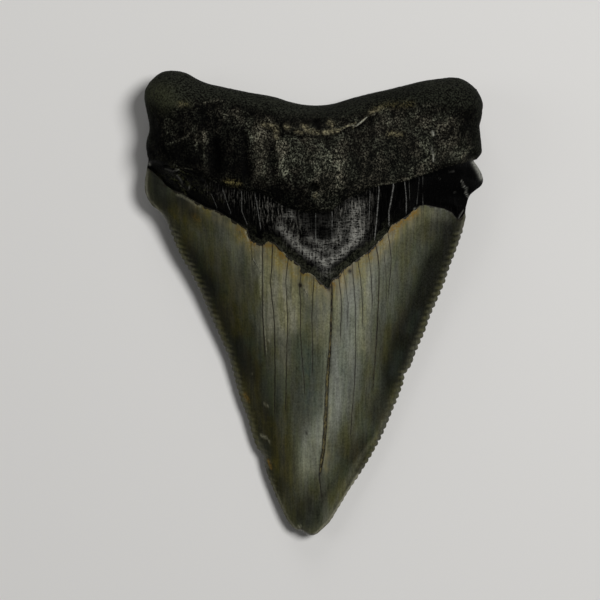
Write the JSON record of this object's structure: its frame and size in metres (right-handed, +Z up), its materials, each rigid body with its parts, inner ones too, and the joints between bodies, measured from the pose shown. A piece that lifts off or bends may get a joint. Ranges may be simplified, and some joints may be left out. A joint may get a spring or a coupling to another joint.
{
  "type": "fossil shark tooth",
  "caption": "Triangular fossil shark tooth with serrated cutting edges, a glossy enamel blade, a dark band and a thick two-lobed root, lying flat.",
  "frame": {"origin": "on the surface that the tooth lies on, under the centre of its outline seen from above", "axes": "+Z up, out of the lingual face; +Y from the tip of the blade towards the root; +X to the right, seen from above with the tip towards the viewer"},
  "size_m": [0.0473, 0.065, 0.0137],
  "materials": {
    "tooth": null
  },
  "bodies": {
    "root": {"tooth": "tooth"}
  },
  "joints": []
}
